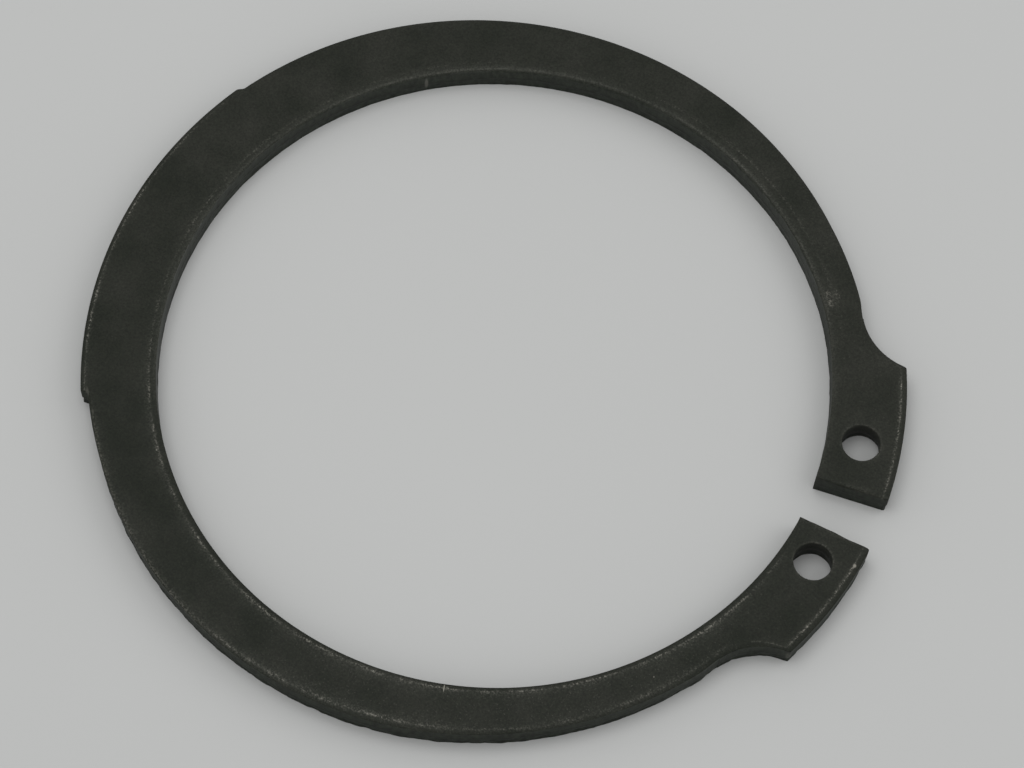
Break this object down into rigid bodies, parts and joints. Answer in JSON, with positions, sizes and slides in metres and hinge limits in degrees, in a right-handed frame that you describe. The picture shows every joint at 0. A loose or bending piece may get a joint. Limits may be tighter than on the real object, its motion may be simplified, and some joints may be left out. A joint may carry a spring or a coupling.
{
  "type": "circlip",
  "caption": "Open spring steel ring with a tapering band and lugs with plier holes at its gap. It snaps into a groove round a shaft and holds parts on it.",
  "frame": {"origin": "centre of the bore, on the lower face", "axes": "+Z along the bore's axis, up through the face with the rolled edges; +X from the bore's centre out through the gap"},
  "size_m": [0.0558, 0.053, 0.002],
  "materials": {
    "phosphated_steel": "matt dark grey phosphate coating on spring steel, worn along the upper edges"
  },
  "bodies": {
    "root": {"circlip": "phosphated_steel"}
  },
  "joints": []
}
